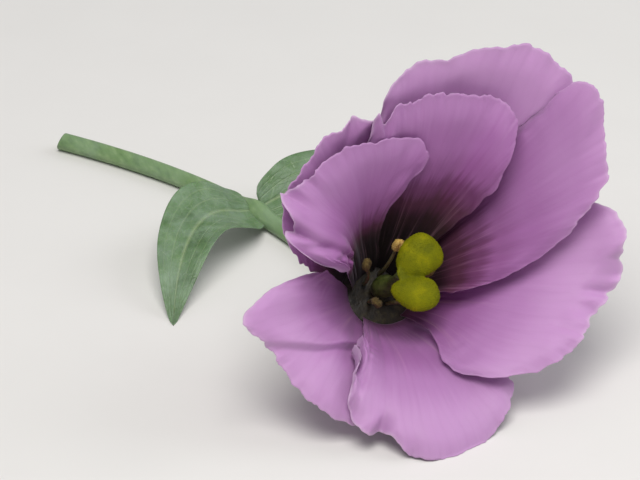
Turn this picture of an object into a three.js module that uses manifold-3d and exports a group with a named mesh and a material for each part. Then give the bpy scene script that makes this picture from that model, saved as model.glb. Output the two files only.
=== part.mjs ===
// Lisianthus flower, picked: one bloom on a short stem with a pair of leaves, lying on a surface.
// Millimetres. The surface is z = 0, the mouth of the bloom looks towards -Y and up, and the stem
// runs back along +Y. The origin is under the middle of the flower's box.

import * as THREE from 'three';
import { mergeVertices } from 'three/addons/utils/BufferGeometryUtils.js';
import Module from 'manifold-3d';

const wasm = await Module();
wasm.setup();
const rad = THREE.MathUtils.degToRad;
const ease = (x) => THREE.MathUtils.smoothstep(x, 0, 1);

// ---------------------------------------------------------------- driving dimensions

const GAP = 0.35;                                        // between pieces that rest on each other
const AXIS_RISE = rad(40);                               // the bloom's axis above the surface
const SEAT = new THREE.Vector3(-1.3, -24.6, 10.4);       // middle of the corolla's foot

const PETAL = { thickness: 0.7, across: 18, along: 9, footHalfWidth: 36, footTilt: 0.62 };
// Each petal lies with one edge over its neighbour: it is tilted by this much at its edges.
const OUTER_TILT = 1.5;
const INNER_TILT = 1.2;

// A bell is the common form of one whorl, from its foot to its rim. The rim is given at a few
// azimuths (degrees, counter-clockwise from the right, looking into the mouth) by its radius and
// height (mm) and its lean away from the axis (degrees).
const OUTER_BELL = {
  foot: { radius: 6.6, height: GAP, lean: 26 },
  tilt: OUTER_TILT,
  ripple: 1.0,
  rim: [
    [5, 39, 31, 60], [30, 40, 35, 50], [50, 40.5, 38, 42], [75, 36.5, 38, 36], [100, 31, 37, 32],
    [135, 29.5, 35.5, 34], [160, 30.5, 31, 56], [187, 33.5, 25.5, 80], [220, 31.2, 22.5, 90],
    [264, 35.3, 24.5, 97], [300, 33.5, 25.5, 88], [330, 35, 28, 76],
  ],
};
const INNER_BELL = {
  foot: { radius: 4.35, height: GAP, lean: 14 },
  tilt: INNER_TILT,
  ripple: 0.8,
  rim: [
    [-30, 30, 33, 50], [5, 35, 36.5, 46], [20, 37, 37.5, 45], [40, 39, 40, 41], [64, 30.5, 37, 25],
    [98, 25.5, 36, 18], [128, 26, 34.5, 35], [150, 27.5, 33, 65], [166, 26, 30, 78], [270, 24, 30, 50],
  ],
};

// A petal spreads by halfWidth to both sides of its azimuth (degrees). Its outline gives how far
// it reaches along the bell (1 is the rim) at places across it, from -1 to 1.
const PETALS = [
  { name: 'petal_outer_top', bell: OUTER_BELL, azimuth: 50, halfWidth: 44, cup: 0.6,
    outline: [[-1, 0.6], [-0.8, 0.86], [-0.4, 0.98], [0, 1.01], [0.25, 0.95], [0.55, 0.82], [0.86, 0.75],
      [1, 0.6]] },
  { name: 'petal_outer_left', bell: OUTER_BELL, azimuth: 128, halfWidth: 38, cup: 0.4,
    outline: [[-1, 0.55], [-0.82, 0.84], [-0.39, 0.93], [0.13, 0.91], [0.5, 0.87], [0.8, 0.8], [1, 0.55]] },
  { name: 'petal_outer_lower_left', bell: OUTER_BELL, azimuth: 206, halfWidth: 40, cup: -0.5,
    outline: [[-1, 0.36], [-0.9, 0.5], [-0.7, 0.8], [-0.475, 1.01], [-0.19, 0.93], [0.33, 0.99], [0.75, 0.92],
      [0.9, 0.8], [1, 0.55]] },
  { name: 'petal_outer_bottom', bell: OUTER_BELL, azimuth: 265, halfWidth: 40, cup: -0.6,
    outline: [[-1, 0.58], [-0.88, 0.84], [-0.68, 0.95], [-0.42, 0.91], [-0.3, 0.97], [0.22, 0.98],
      [0.64, 0.9], [0.88, 0.77], [1, 0.55]] },
  { name: 'petal_outer_lower_right', bell: OUTER_BELL, azimuth: 337, halfWidth: 42, cup: -0.4,
    outline: [[-1, 0.5], [-0.85, 0.74], [-0.6, 0.89], [-0.3, 0.95], [-0.12, 0.93], [0.15, 0.98], [0.58, 0.97],
      [0.8, 0.8], [1, 0.5]] },
  { name: 'petal_inner_right', bell: INNER_BELL, azimuth: 6, halfWidth: 35, cup: 0.5,
    outline: [[-1, 0.36], [-0.61, 0.55], [-0.34, 0.7], [-0.07, 0.85], [0.15, 0.96], [0.4, 0.99], [0.75, 1.03],
      [0.92, 0.97], [1, 0.75]] },
  { name: 'petal_inner_top', bell: INNER_BELL, azimuth: 68, halfWidth: 36, cup: 0.9,
    outline: [[-1, 0.58], [-0.73, 0.76], [-0.5, 0.87], [-0.12, 0.98], [0.2, 1], [0.4, 0.97], [0.58, 0.98],
      [0.73, 0.9], [0.84, 1.03], [1, 0.78]] },
  { name: 'petal_inner_left', bell: INNER_BELL, azimuth: 130, halfWidth: 38, cup: -0.5,
    outline: [[-1, 0.72], [-0.53, 0.87], [-0.06, 0.98], [0.26, 0.95], [0.5, 1], [0.66, 0.93], [0.83, 0.96],
      [0.92, 0.7], [1, 0.5]] },
];
// The lower left petal is folded along one line.
const FOLD = { petal: 'petal_outer_lower_left', at: -0.12, depth: 1.5, spread: 0.13 };

// The sepals reach over this share of the outer bell, clear of its middle surface.
const CALYX = { radius: 7.4, neck: 1.75, depth: 5, sepals: 5, firstAzimuth: 30 };
const SEPAL = { reach: 0.37, halfWidth: 1.9, halfDepth: 0.95, clear: 2.1, bow: 2.1, steps: 9 };
const STEM = { topRadius: 1.6, endRadius: 1.8, length: 86, sweep: 0.0062, sweepStart: 12, sides: 10 };
// The swelling the leaves grow from, at this share of the stem.
const NODE = { share: 0.52, swell: 0.5, reach: 3 };
const STAMEN = { count: 5, firstAzimuth: 74, foot: 2.95, lean: 5.3, height: 10, radius: 0.4 };
const ANTHER = { halfWidth: 0.85, halfDepth: 1.05, halfLength: 1.7, lean: rad(20) };
const OVARY = { foot: 1.3, radius: 2.2, height: 8, styleRadius: 0.8, styleTop: 14.5 };
const STIGMA = { long: 4.6, wide: 3.5, thick: 1.9, spread: 3.4, height: 17.2, aside: [0.9, 0],
  turns: [38, -62], tilt: rad(14), neckRadius: 1.6, neckLength: 2.4 };
const LEAF = { halfWidth: 5.4, thickness: 0.7, across: 8, along: 14, fold: 1.3, wave: 0.7,
  rootHeight: 2.6, rootTwist: rad(40), touch: 0.9 };
const LEAVES = [
  { side: -1, out: 37, forward: 19, arch: 7.5 },
  { side: 1, out: 29, forward: 26, arch: 5.5 },
];

// ---------------------------------------------------------------- helpers for closed bodies

function material(colour, roughness) {
  return new THREE.MeshStandardMaterial({ color: colour, roughness, metalness: 0 });
}

function signedVolume(points, faces) {
  let sum = 0;
  for (const [a, b, c] of faces) sum += points[a].dot(points[b].clone().cross(points[c]));
  return sum / 6;
}

/** A closed geometry from points and triangles, with its faces turned outwards. */
function solid(points, faces) {
  const out = signedVolume(points, faces) > 0 ? faces : faces.map(([a, b, c]) => [a, c, b]);
  const geometry = new THREE.BufferGeometry().setFromPoints(points);
  geometry.setIndex(out.flat());
  return geometry;
}

/** A closed body through rings of equally many points, each end closed round its middle. */
function loft(rings) {
  const sides = rings[0].length;
  const points = rings.flat();
  const faces = [];
  for (let i = 0; i + 1 < rings.length; i++) {
    for (let j = 0; j < sides; j++) {
      const a = i * sides + j;
      const b = i * sides + (j + 1) % sides;
      faces.push([a, b, b + sides], [a, b + sides, a + sides]);
    }
  }
  const close = (ring, start, turn) => {
    const middle = ring.reduce((sum, p) => sum.add(p), new THREE.Vector3()).divideScalar(sides);
    const tip = points.push(middle) - 1;
    for (let j = 0; j < sides; j++) {
      const pair = [start + j, start + (j + 1) % sides];
      faces.push(turn ? [tip, pair[1], pair[0]] : [tip, pair[0], pair[1]]);
    }
  };
  close(rings[0], 0, true);
  close(rings.at(-1), (rings.length - 1) * sides, false);
  return solid(points, faces);
}

/** A round body along a curve, with a facet to its underside; radiusAt takes the share of the way. */
function sweep(curve, steps, sides, radiusAt) {
  const vertical = new THREE.Vector3(0, 0, 1);
  const rings = [];
  for (let i = 0; i <= steps; i++) {
    const share = i / steps;
    const centre = curve.getPoint(share);
    const tangent = curve.getTangent(share);
    const level = tangent.clone().cross(vertical).normalize();
    const above = level.clone().cross(tangent);
    const radius = radiusAt(share);
    rings.push(Array.from({ length: sides }, (_, j) => {
      const turn = (2 * Math.PI * (j + 0.5)) / sides;
      return centre.clone()
        .addScaledVector(above, radius * Math.cos(turn))
        .addScaledVector(level, radius * Math.sin(turn));
    }));
  }
  return loft(rings);
}

/** A thin closed blade between two like grids of points, split into triangles alike on both. */
function blade(upper, lower) {
  const rows = upper.length;
  const columns = upper[0].length;
  const points = [...upper.flat(), ...lower.flat()];
  const under = rows * columns;
  const at = (i, j) => i * columns + j;
  const faces = [];
  for (let i = 0; i + 1 < rows; i++) {
    for (let j = 0; j + 1 < columns; j++) {
      const [a, b, c, d] = [at(i, j), at(i, j + 1), at(i + 1, j + 1), at(i + 1, j)];
      faces.push([a, b, c], [a, c, d], [a + under, c + under, b + under], [a + under, d + under, c + under]);
    }
  }
  const edge = [];
  for (let j = 0; j < columns; j++) edge.push(at(0, j));
  for (let i = 1; i < rows; i++) edge.push(at(i, columns - 1));
  for (let j = columns - 2; j >= 0; j--) edge.push(at(rows - 1, j));
  for (let i = rows - 2; i > 0; i--) edge.push(at(i, 0));
  edge.forEach((a, k) => {
    const b = edge[(k + 1) % edge.length];
    faces.push([b, a, a + under], [b, a + under, b + under]);
  });
  return solid(points, faces);
}

function toManifold(geometry) {
  const bare = geometry.clone();
  for (const name of ['normal', 'uv']) bare.deleteAttribute(name);
  const merged = mergeVertices(bare, 1e-4);
  return new wasm.Manifold(new wasm.Mesh({
    numProp: 3,
    vertProperties: new Float32Array(merged.attributes.position.array),
    triVerts: new Uint32Array(merged.index.array),
  }));
}

/** The geometries grown together into one body. */
function fused(geometries) {
  const mesh = geometries.map(toManifold).reduce((whole, piece) => whole.add(piece)).getMesh();
  const geometry = new THREE.BufferGeometry();
  geometry.setAttribute('position', new THREE.BufferAttribute(new Float32Array(mesh.vertProperties), 3));
  geometry.setIndex(Array.from(mesh.triVerts));
  return geometry;
}

// ---------------------------------------------------------------- the bloom's own frame

// x is to the right, y up across the mouth, z along the axis out of the mouth.
const bloom = new THREE.Group();
bloom.position.copy(SEAT);
bloom.rotation.x = Math.PI / 2 - AXIS_RISE;
const SKY = new THREE.Vector3(0, Math.cos(AXIS_RISE), Math.sin(AXIS_RISE));

function polar(radius, azimuth, height) {
  return new THREE.Vector3(radius * Math.cos(azimuth), radius * Math.sin(azimuth), height);
}

/** Lifts a point of the bloom that would lie lower than `least` above the surface. */
function pressed(point, least) {
  const height = SEAT.z + point.dot(SKY);
  return height < least ? point.addScaledVector(SKY, least - height) : point;
}

// ---------------------------------------------------------------- bells and petals

/** A smooth curve y(x) through points [x, y, ...]: the value in `column` at x. */
function through(points, x, column = 1) {
  const i = Math.max(0, points.findIndex((point) => point[0] >= x) - 1);
  const slope = (k) => {
    const before = points[Math.max(0, k - 1)];
    const after = points[Math.min(points.length - 1, k + 1)];
    return (after[column] - before[column]) / (after[0] - before[0]);
  };
  const [from, to] = [points[i], points[i + 1]];
  const span = to[0] - from[0];
  const t = (x - from[0]) / span;
  const rise = to[column] - from[column];
  const [start, end] = [slope(i) * span, slope(i + 1) * span];
  return from[column] + t * (start + t * (3 * rise - 2 * start - end + t * (start + end - 2 * rise)));
}

function rimAt(stations, azimuth) {
  const turn = 360;
  const shifted = (by) => stations.map(([place, ...rest]) => [place + by, ...rest]);
  const round = [...shifted(-turn), ...stations, ...shifted(turn)];
  const [radius, height, lean] = [1, 2, 3].map((column) => through(round, azimuth, column));
  return { radius, height, lean };
}

/** The bell's own surface: azimuth in degrees, way from 0 at the foot to 1 at the rim. */
function bellPoint(bell, azimuth, way) {
  const rim = rimAt(bell.rim, azimuth);
  const chord = Math.hypot(rim.radius - bell.foot.radius, rim.height - bell.foot.height);
  const step = (start, lean, length) => new THREE.Vector2(
    start.radius + length * Math.sin(rad(lean)), start.height + length * Math.cos(rad(lean)));
  const meridian = new THREE.CubicBezierCurve(
    step(bell.foot, 0, 0), step(bell.foot, bell.foot.lean, 0.38 * chord),
    step(rim, rim.lean, -0.34 * chord), step(rim, 0, 0));
  const { x: radius, y: height } = meridian.getPoint(way);
  return polar(radius, rad(azimuth), height);
}

/** The bell's normal, towards its inside. */
function bellNormal(bell, azimuth, way) {
  const small = 1e-3;
  const low = Math.min(way, 1 - small);
  const round = bellPoint(bell, azimuth + 1, low).sub(bellPoint(bell, azimuth - 1, low));
  const along = bellPoint(bell, azimuth, low + small).sub(bellPoint(bell, azimuth, low));
  return along.cross(round).normalize();
}

/** Slow waves that all petals of a whorl share, growing towards the rim. */
function ripple(bell, azimuth, way) {
  const turn = rad(azimuth);
  return bell.ripple * way ** 3 * (0.6 * Math.sin(7 * turn + 0.7) + 0.5 * Math.sin(11 * turn + 2.1));
}

function petalPoint(petal, across, share, side) {
  const { bell } = petal;
  const way = share * through(petal.outline, across);
  const widen = ease(way / 0.4);
  const halfWidth = THREE.MathUtils.lerp(PETAL.footHalfWidth, petal.halfWidth, widen);
  const azimuth = petal.azimuth + across * halfWidth;
  const tilt = THREE.MathUtils.lerp(PETAL.footTilt, bell.tilt, way);
  let offset = -tilt * across + petal.cup * (across * way) ** 2 + ripple(bell, azimuth, way);
  if (petal.name === FOLD.petal) {
    offset -= FOLD.depth * way ** 2 * Math.exp(-(((across - FOLD.at) / FOLD.spread) ** 2));
  }
  const point = bellPoint(bell, azimuth, way);
  const normal = bellNormal(bell, azimuth, way);
  point.addScaledVector(normal, offset + side * PETAL.thickness / 2);
  return pressed(point, side > 0 ? PETAL.thickness : 0);
}

function petalGeometry(petal) {
  const grid = (side) => Array.from({ length: PETAL.along + 1 }, (_, i) =>
    Array.from({ length: PETAL.across + 1 }, (_, j) =>
      petalPoint(petal, (2 * j) / PETAL.across - 1, i / PETAL.along, side)));
  return blade(grid(1), grid(-1));
}

function addPetals(parent) {
  for (const petal of PETALS) {
    const mesh = new THREE.Mesh(petalGeometry(petal), material(0xb27cb8, 0.6));
    mesh.name = petal.name;
    parent.add(mesh);
  }
}

// ---------------------------------------------------------------- calyx

/** One slim keeled sepal, rooted in the cup and running up the outside of the petals. */
function sepalGeometry(azimuth) {
  const across = polar(1, rad(azimuth + 90), 0);
  const outline = [[1, 0.1], [0.5, 0.55], [-0.5, 0.55], [-1, 0.1], [-0.45, -0.55], [0, -1.2], [0.45, -0.55]];
  const tip = 0.3;
  const rings = [];
  for (let i = 0; i <= SEPAL.steps; i++) {
    const share = i / SEPAL.steps;
    const way = share * SEPAL.reach;
    const inward = bellNormal(OUTER_BELL, azimuth, way);
    const clear = SEPAL.clear + SEPAL.bow * share ** 2;
    const centre = i === 0
      ? polar(CALYX.radius - 1.3, rad(azimuth), -1.9)
      : bellPoint(OUTER_BELL, azimuth, way).addScaledVector(inward, -clear);
    const half = SEPAL.halfWidth * (1 - share ** 1.5) + tip;
    const depth = THREE.MathUtils.lerp(SEPAL.halfDepth, tip, share);
    rings.push(outline.map(([a, b]) =>
      centre.clone().addScaledVector(across, a * half).addScaledVector(inward, b * depth)));
  }
  return loft(rings);
}

function calyxGeometry() {
  const { radius, neck, depth } = CALYX;
  const profile = [[0, -depth], [neck, -depth], [neck + 0.3, 0.25 - depth], [neck + 1.3, -3.9],
    [radius - 1.1, -2.7], [radius - 0.1, -1.4], [radius, -0.5], [radius - 0.5, 0], [0, 0]];
  const cup = new THREE.LatheGeometry(profile.map(([x, y]) => new THREE.Vector2(x, y)), 24);
  cup.rotateX(Math.PI / 2);
  const sepals = Array.from({ length: CALYX.sepals }, (_, k) =>
    sepalGeometry(CALYX.firstAzimuth + (360 / CALYX.sepals) * k));
  return fused([cup, ...sepals]);
}

function addCalyx(parent) {
  const mesh = new THREE.Mesh(calyxGeometry(), material(0x6f8f5a, 0.6));
  mesh.name = 'calyx';
  parent.add(mesh);
}

// ---------------------------------------------------------------- pistil and stamens

function addPistil(parent) {
  const { foot, radius, height, styleRadius, styleTop } = OVARY;
  const profile = [[0, GAP], [foot, GAP], [radius * 0.9, 0.3 * height], [radius, 0.5 * height],
    [radius * 0.85, 0.72 * height], [radius * 0.5, 0.92 * height], [styleRadius, 1.12 * height],
    [styleRadius, styleTop], [0, styleTop]];
  const ovaryShape = new THREE.LatheGeometry(profile.map(([x, y]) => new THREE.Vector2(x, y)), 14);
  ovaryShape.rotateX(Math.PI / 2);
  const ovary = new THREE.Mesh(ovaryShape, material(0x7d8f3a, 0.6));
  ovary.name = 'ovary_and_style';

  const lobe = (turn) => {
    const shape = new THREE.SphereGeometry(1, 14, 10);
    shape.scale(STIGMA.long, STIGMA.wide, STIGMA.thick);
    shape.rotateY(-STIGMA.tilt);
    shape.translate(STIGMA.spread, 0, STIGMA.height);
    shape.rotateZ(rad(turn));
    shape.translate(...STIGMA.aside, 0);
    return shape;
  };
  const neck = new THREE.CylinderGeometry(STIGMA.neckRadius, styleRadius, STIGMA.neckLength, 10);
  neck.rotateX(Math.PI / 2);
  neck.translate(0, 0, styleTop + GAP + STIGMA.neckLength / 2);
  const stigma = new THREE.Mesh(fused([...STIGMA.turns.map(lobe), neck]), material(0x8a8a14, 0.75));
  stigma.name = 'stigma';
  parent.add(ovary, stigma);
}

function addStamens(parent) {
  for (let k = 0; k < STAMEN.count; k++) {
    const azimuth = rad(STAMEN.firstAzimuth + (360 / STAMEN.count) * k);
    const curve = new THREE.QuadraticBezierCurve3(
      polar(STAMEN.foot, azimuth, GAP), polar(STAMEN.foot + 0.4, azimuth, STAMEN.height * 0.6),
      polar(STAMEN.lean, azimuth, STAMEN.height));
    const filament = new THREE.Mesh(
      sweep(curve, 8, 6, (share) => STAMEN.radius * (1 - 0.25 * share)), material(0xb9b08a, 0.6));
    filament.name = `filament_${k + 1}`;

    const shape = new THREE.SphereGeometry(1, 8, 8);
    shape.scale(ANTHER.halfWidth, ANTHER.halfDepth, ANTHER.halfLength);
    const anther = new THREE.Mesh(shape, material(0xc8a85c, 0.85));
    anther.name = `anther_${k + 1}`;
    anther.rotation.set(0, ANTHER.lean, azimuth, 'ZYX');
    anther.position.copy(polar(STAMEN.lean + 0.7, azimuth, STAMEN.height + ANTHER.halfLength + GAP));
    parent.add(filament, anther);
  }
}

// ---------------------------------------------------------------- stem and leaves

function stemRadius(share) {
  const fromNode = ((share - NODE.share) * STEM.length) / NODE.reach;
  const plain = THREE.MathUtils.lerp(STEM.topRadius, STEM.endRadius, share);
  return plain + NODE.swell * Math.exp(-(fromNode ** 2));
}

/** The stem's middle line: down from the calyx in an arc, then along the surface, sweeping aside. */
class StemLine extends THREE.Curve {
  getPoint(share, target = new THREE.Vector3()) {
    const start = new THREE.Vector3(0, 0, -CALYX.depth - GAP).applyEuler(bloom.rotation).add(SEAT);
    const bend = (start.z - stemRadius(0)) / (1 - Math.cos(AXIS_RISE));
    const y = start.y + share * STEM.length;
    const ahead = Math.max(0, start.y + bend * Math.sin(AXIS_RISE) - y);
    const aside = Math.max(0, y - start.y - STEM.sweepStart);
    const lying = stemRadius(share) * Math.cos(Math.PI / STEM.sides);
    return target.set(
      start.x - STEM.sweep * aside ** 2, y, lying + bend - Math.sqrt(bend ** 2 - ahead ** 2));
  }
}
const stemLine = new StemLine();

function addStem(parent) {
  const mesh = new THREE.Mesh(sweep(stemLine, 40, STEM.sides, stemRadius), material(0x71905a, 0.55));
  mesh.name = 'stem';
  parent.add(mesh);
}

/** A lance-shaped leaf: out from the stem's node, then bending forward, its tip on the surface. */
function leafGeometry({ side, out, forward, arch }) {
  const node = stemLine.getPoint(NODE.share);
  const back = stemLine.getTangent(NODE.share).setZ(0).normalize();
  const aside = new THREE.Vector3(side * back.y, -side * back.x, 0);
  const plan = (x, y) => node.clone().setZ(0).addScaledVector(aside, x).addScaledVector(back, -y);
  const clear = STEM.endRadius + NODE.swell + GAP;
  const line = new THREE.QuadraticBezierCurve3(
    plan(clear, 0), plan(out * 0.62, forward * 0.16), plan(out, forward));
  const grid = (face) => Array.from({ length: LEAF.along + 1 }, (_, i) => {
    const share = i / LEAF.along;
    const half = LEAF.halfWidth * (Math.sin(Math.PI * share ** 0.62) ** 0.9 + 0.42 * (1 - share)) + 0.3;
    const rise = arch * Math.sin(Math.PI * Math.min(1, share / LEAF.touch) ** 0.9)
      + LEAF.rootHeight * (1 - share) ** 2;
    const tangent = line.getTangentAt(share);
    const level = new THREE.Vector3(-tangent.y, tangent.x, 0);
    const twist = LEAF.rootTwist * (1 - ease(share / 0.5));
    const across = level.clone().multiplyScalar(Math.cos(twist)).setZ(side * Math.sin(twist));
    const normal = level.multiplyScalar(-side * Math.sin(twist)).setZ(Math.cos(twist));
    return Array.from({ length: LEAF.across + 1 }, (_, j) => {
      const place = (2 * j) / LEAF.across - 1;
      const wave = LEAF.wave * place ** 2 * Math.sin(4.2 * Math.PI * share + 1.2 * place + side);
      const fold = LEAF.fold * Math.abs(place) * (half / LEAF.halfWidth);
      const point = line.getPointAt(share).setZ(rise).addScaledVector(across, place * half)
        .addScaledVector(normal, fold + wave + (face * LEAF.thickness) / 2);
      point.z = Math.max(point.z, face > 0 ? LEAF.thickness : 0);
      return point;
    });
  });
  return blade(grid(1), grid(-1));
}

function addLeaves(parent) {
  LEAVES.forEach((leaf, k) => {
    const mesh = new THREE.Mesh(leafGeometry(leaf), material(0x6c8a63, 0.55));
    mesh.name = `leaf_${k + 1}`;
    parent.add(mesh);
  });
}

// ---------------------------------------------------------------- the flower

const flower = new THREE.Group();
flower.add(bloom);
addPetals(bloom);
addCalyx(bloom);
addPistil(bloom);
addStamens(bloom);
addStem(flower);
addLeaves(flower);

export default flower;
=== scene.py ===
# %% [markdown]
# # A picked lisianthus bloom
#
# One open bloom on a short cut stem, lying on a pale table. The solid model gives every piece its
# place and its size, in thick plain blades. This lesson makes the living surfaces over it: thin
# petals with frilled edges and veins, a waxy green stem, and the small parts down in the throat.
# Sizes are written in millimetres and turned into metres as each mesh is made.

import math

import bpy
import numpy as np
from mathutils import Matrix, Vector, noise


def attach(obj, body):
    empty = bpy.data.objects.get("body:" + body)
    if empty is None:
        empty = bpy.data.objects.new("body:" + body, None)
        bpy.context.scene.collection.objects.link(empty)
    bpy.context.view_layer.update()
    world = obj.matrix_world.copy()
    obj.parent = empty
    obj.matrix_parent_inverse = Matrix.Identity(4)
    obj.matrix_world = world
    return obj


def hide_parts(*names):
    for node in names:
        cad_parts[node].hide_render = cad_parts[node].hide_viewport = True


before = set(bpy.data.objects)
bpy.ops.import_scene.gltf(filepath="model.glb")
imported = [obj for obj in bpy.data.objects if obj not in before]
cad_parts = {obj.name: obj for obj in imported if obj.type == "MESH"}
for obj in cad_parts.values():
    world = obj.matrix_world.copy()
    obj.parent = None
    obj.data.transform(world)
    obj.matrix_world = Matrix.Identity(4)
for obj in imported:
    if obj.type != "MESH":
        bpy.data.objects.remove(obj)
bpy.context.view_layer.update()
MM = 0.001

# %% [markdown]
# ## The camera
#
# The bloom is seen from a little to its left and from above, as in the photograph. A long lens
# from most of a metre away keeps the petals' proportions, and the frame takes in the whole stem.

# %% Camera
VIEW_AZIMUTH, VIEW_ELEVATION = math.radians(-20), math.radians(30)
VIEW_WIDTH, VIEW_DISTANCE = 121 * MM, 0.7
VIEW_ASIDE, VIEW_UP = -3.4 * MM, 6.4 * MM

view_right = Vector((math.cos(VIEW_AZIMUTH), math.sin(VIEW_AZIMUTH), 0))
view_back = Vector((math.sin(VIEW_AZIMUTH) * math.cos(VIEW_ELEVATION),
                    -math.cos(VIEW_AZIMUTH) * math.cos(VIEW_ELEVATION), math.sin(VIEW_ELEVATION)))
view_up = view_back.cross(view_right)


def placed(name, data, place, direction):
    thing = bpy.data.objects.new(name, data)
    bpy.context.collection.objects.link(thing)
    thing.location = place
    thing.rotation_mode = "QUATERNION"
    thing.rotation_quaternion = direction.to_track_quat("Z", "Y")
    return thing


camera_data = bpy.data.cameras.new("camera")
camera_data.lens = camera_data.sensor_width * VIEW_DISTANCE / VIEW_WIDTH
camera_data.clip_start = 0.01
viewpoint = view_right * VIEW_ASIDE + view_up * VIEW_UP + view_back * VIEW_DISTANCE
bpy.context.scene.camera = placed("camera", camera_data, viewpoint, view_back)
print("lens, mm:", round(camera_data.lens))

# %% [markdown]
# ## The bell
#
# All petals of a ring lie on one bell: a foot on the calyx, and a rim that opens wider on some
# sides than on others. The solid model draws the bell with a few numbers, and the same numbers
# are used here, so that each thin petal follows its solid blade. Some edges go a few millimetres
# past it, to match the photograph. Numpy works out a whole petal's grid of points in one call.

# %% The bell's numbers, in millimetres and degrees
AXIS_RISE = math.radians(40)
SEAT = np.array([-1.3, -24.6, 10.4])
FOOT_GAP = 0.35
FOOT_PULL, RIM_PULL = 0.38, 0.34
OUTER_BELL = {
    "foot": (6.6, FOOT_GAP, 26), "tilt": 1.5, "ripple": 1.0,
    "rim": [(5, 39, 31, 60), (30, 40, 35, 50), (50, 40.5, 38, 42), (75, 36.5, 38, 36),
            (100, 31, 37, 32), (135, 29.5, 35.5, 34), (160, 30.5, 31, 56), (187, 33.5, 25.5, 80),
            (220, 31.2, 22.5, 90), (264, 35.3, 24.5, 97), (300, 33.5, 25.5, 88), (330, 35, 28, 76)],
}
INNER_BELL = {
    "foot": (4.35, FOOT_GAP, 14), "tilt": 1.2, "ripple": 0.8,
    "rim": [(-30, 30, 33, 50), (5, 35, 36.5, 46), (20, 37, 37.5, 45), (40, 39, 40, 41),
            (64, 30.5, 37, 25), (98, 25.5, 36, 18), (128, 26, 34.5, 35), (150, 27.5, 33, 65),
            (166, 26, 30, 78), (270, 24, 30, 50)],
}


# %% A smooth curve through a few points
def through(points, x, column=1):
    table = np.array(points, float)
    place, value = table[:, 0], table[:, column]
    slope = np.empty_like(value)
    slope[1:-1] = (value[2:] - value[:-2]) / (place[2:] - place[:-2])
    slope[0] = (value[1] - value[0]) / (place[1] - place[0])
    slope[-1] = (value[-1] - value[-2]) / (place[-1] - place[-2])
    i = np.clip(np.searchsorted(place, x) - 1, 0, len(place) - 2)
    span = place[i + 1] - place[i]
    t = (x - place[i]) / span
    rise = value[i + 1] - value[i]
    start, end = slope[i] * span, slope[i + 1] * span
    return value[i] + t * (start + t * (3 * rise - 2 * start - end + t * (start + end - 2 * rise)))


def ease(x):
    x = np.clip(x, 0, 1)
    return x * x * (3 - 2 * x)


def bell_point(bell, azimuth, way):
    rim = bell["rim"]
    turns = [(p + by, *rest) for by in (-360, 0, 360) for p, *rest in rim]
    radius, height, lean = (through(turns, azimuth, column) for column in (1, 2, 3))
    foot_radius, foot_height, foot_lean = bell["foot"]
    chord = np.hypot(radius - foot_radius, height - foot_height)
    lean, foot_lean = np.radians(lean), math.radians(foot_lean)
    r = [foot_radius, foot_radius + FOOT_PULL * chord * math.sin(foot_lean),
         radius - RIM_PULL * chord * np.sin(lean), radius]
    h = [foot_height, foot_height + FOOT_PULL * chord * math.cos(foot_lean),
         height - RIM_PULL * chord * np.cos(lean), height]
    weights = [(1 - way) ** 3, 3 * way * (1 - way) ** 2, 3 * way ** 2 * (1 - way), way ** 3]
    r = sum(w * value for w, value in zip(weights, r))
    h = sum(w * value for w, value in zip(weights, h))
    turn = np.radians(azimuth)
    return np.stack([r * np.cos(turn), r * np.sin(turn), h], -1)


def bell_normal(bell, azimuth, way):
    low = np.minimum(way, 0.999)
    around = bell_point(bell, azimuth + 1, low) - bell_point(bell, azimuth - 1, low)
    along = bell_point(bell, azimuth, low + 0.001) - bell_point(bell, azimuth, low)
    normal = np.cross(along, around)
    return normal / np.linalg.norm(normal, axis=-1, keepdims=True)


def bloom_to_row(points):
    x, y, z = np.moveaxis(np.asarray(points, float), -1, 0)
    sin, cos = math.sin(AXIS_RISE), math.cos(AXIS_RISE)
    return np.stack([x, y * sin - z * cos, y * cos + z * sin], -1) + SEAT


print("bell rim, outer, at 50 degrees:", bell_point(OUTER_BELL, 50.0, 1.0).round(1))


# %% [markdown]
# ## Making meshes
#
# A petal or leaf is a closed skin: one grid of points for its inner face, one for its outer face,
# and a strip round the edge that joins them. Each vertex also keeps marks that the materials
# read, such as how far it is from the edge. Tubes and round bodies are lofts through rings.

# %% Closed skins
def add_mark(mesh, label, values):
    data = mesh.attributes.new(label, "FLOAT", "POINT").data
    data.foreach_set("value", np.ravel(values).astype(np.float32))


def new_object(name, points, faces, marks=None, uv=None, edges=()):
    mesh = bpy.data.meshes.new(name)
    mesh.from_pydata((np.asarray(points) * MM).tolist(), edges, [tuple(face) for face in faces])
    for label, values in (marks or {}).items():
        add_mark(mesh, label, values)
    if uv is not None:
        corner = np.empty(len(mesh.loops), np.int32)
        mesh.loops.foreach_get("vertex_index", corner)
        layer = mesh.uv_layers.new(name="UVMap")
        layer.data.foreach_set("uv", np.asarray(uv, np.float32)[corner].ravel())
    mesh.shade_smooth()
    mesh.update()
    piece = bpy.data.objects.new(name, mesh)
    bpy.context.collection.objects.link(piece)
    return piece


def enclosed_volume(points, faces):
    total = 0.0
    for face in faces:
        corners = points[list(face)]
        for k in range(1, len(face) - 1):
            total += np.dot(corners[0], np.cross(corners[k], corners[k + 1]))
    return total / 6


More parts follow.
